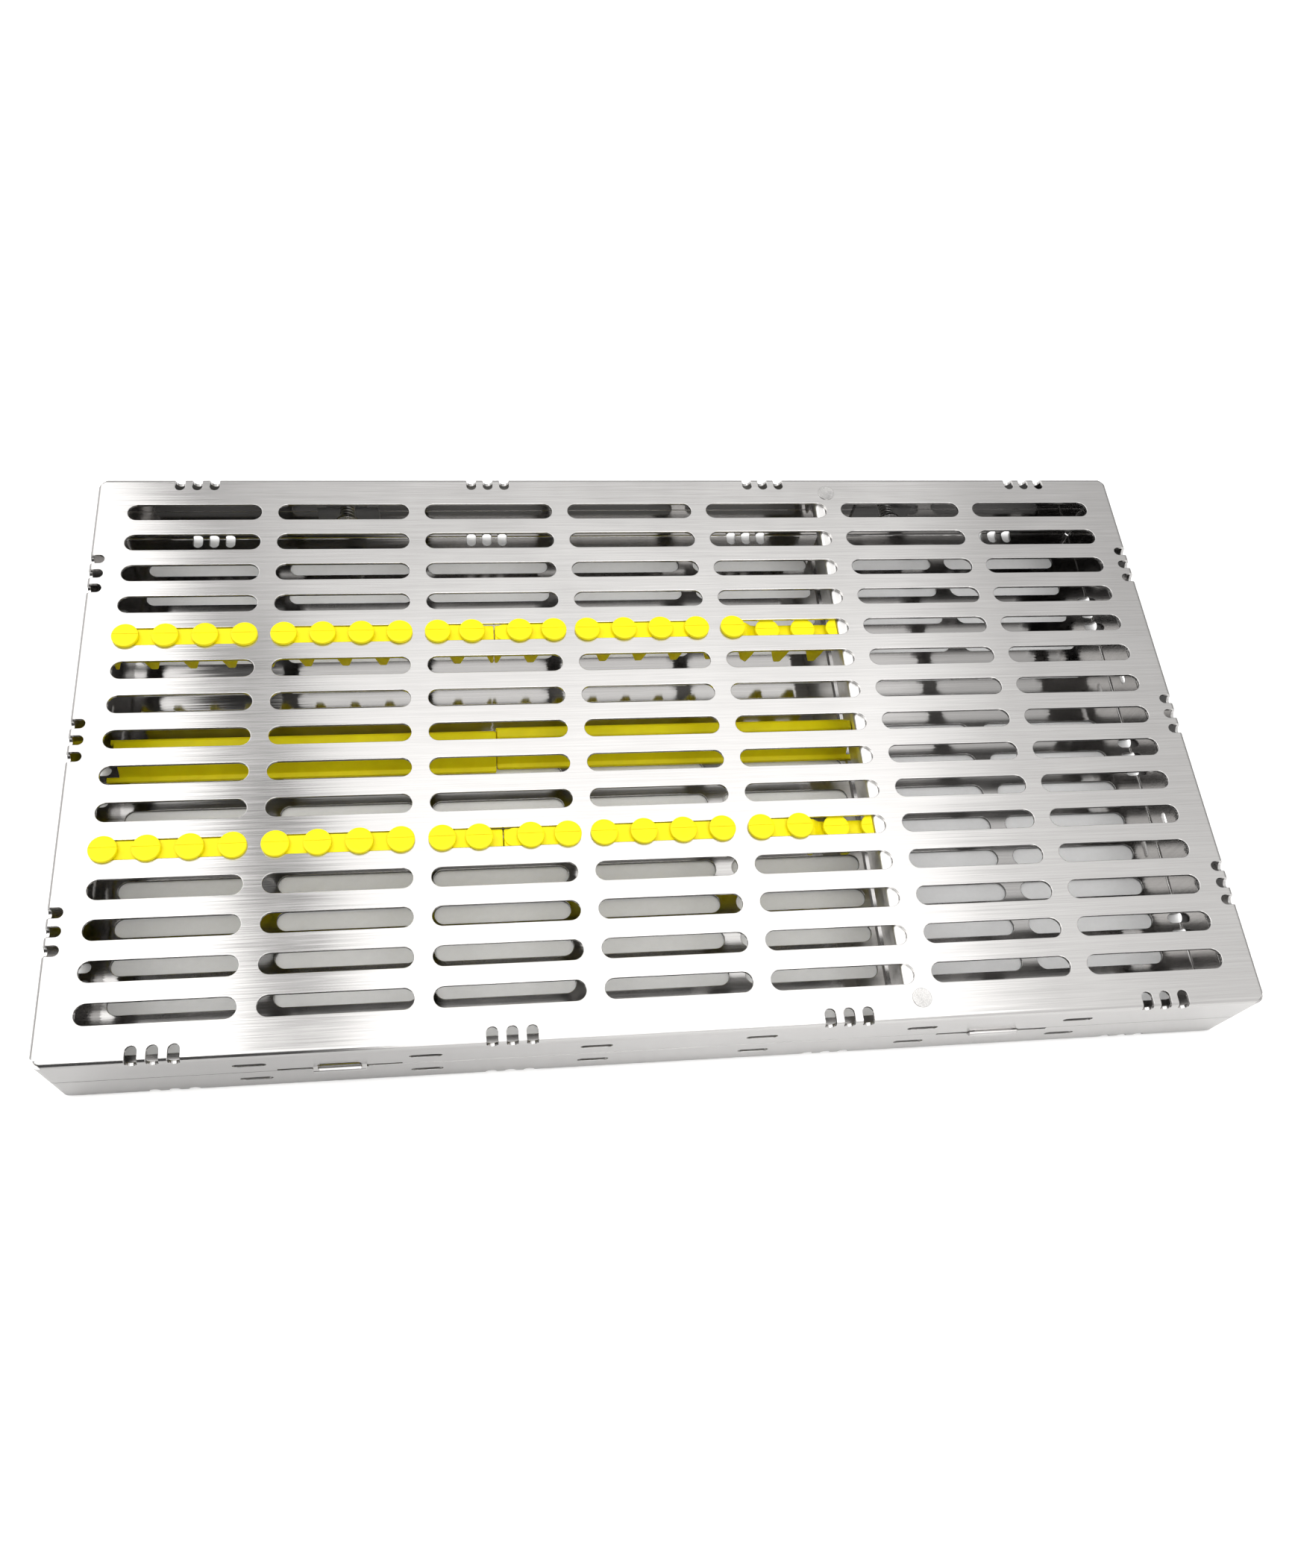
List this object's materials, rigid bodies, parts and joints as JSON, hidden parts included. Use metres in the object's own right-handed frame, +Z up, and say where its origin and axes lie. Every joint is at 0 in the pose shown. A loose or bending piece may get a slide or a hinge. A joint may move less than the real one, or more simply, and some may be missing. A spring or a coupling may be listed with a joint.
{
  "type": "instrument tray",
  "caption": "Closed sterilization tray for hand instruments: two slotted steel shells on a rolled hinge, sprung push latches, yellow silicone combs and a divider.",
  "frame": {"origin": "centre of the face the tray rests on, in its length and width", "axes": "+X along the length towards the accessory bay, +Y from the hinge side to the latch side, +Z up from the resting face"},
  "size_m": [0.366, 0.2066, 0.0353],
  "materials": {
    "case_steel": "fine grain along the length, bright cut edges",
    "divider_steel": "mill finish, half bright",
    "latch_steel": "tumbled, satin",
    "plain_steel": "turned and polished",
    "spring_wire": "drawn wire, half bright",
    "silicone": "smooth moulded silicone, soft sheen"
  },
  "bodies": {
    "bottom": {"bottom_shell": "case_steel", "hold_down_bar_left": "silicone", "hold_down_bar_right": "silicone"},
    "top": {"top_shell": "case_steel", "rear_comb_left": "silicone", "rear_comb_right": "silicone", "front_comb_left": "silicone", "front_comb_right": "silicone", "divider": "divider_steel", "divider_rivets": "plain_steel", "latch_left_stud": "plain_steel", "latch_left_spring": "spring_wire", "latch_left_washer": "plain_steel", "latch_right_stud": "plain_steel", "latch_right_spring": "spring_wire", "latch_right_washer": "plain_steel"},
    "latch_left": {"latch_left_plate": "latch_steel"},
    "latch_right": {"latch_right_plate": "latch_steel"}
  },
  "joints": [
    {"name": "lid_hinge", "type": "hinge", "parent": "bottom", "child": "top", "pos_m": [0, -0.10245, 0.017], "axis": [1, 0, 0], "range_deg": [0, 180]},
    {"name": "latch_left_press", "type": "slide", "parent": "top", "child": "latch_left", "axis": [0, -1, 0], "range_m": [0, 0.0025], "stiffness_N_per_m": 800, "springref_m": -0.003, "deforming": ["latch_left_spring"]},
    {"name": "latch_right_press", "type": "slide", "parent": "top", "child": "latch_right", "axis": [0, -1, 0], "range_m": [0, 0.0025], "stiffness_N_per_m": 800, "springref_m": -0.003, "deforming": ["latch_right_spring"]}
  ]
}
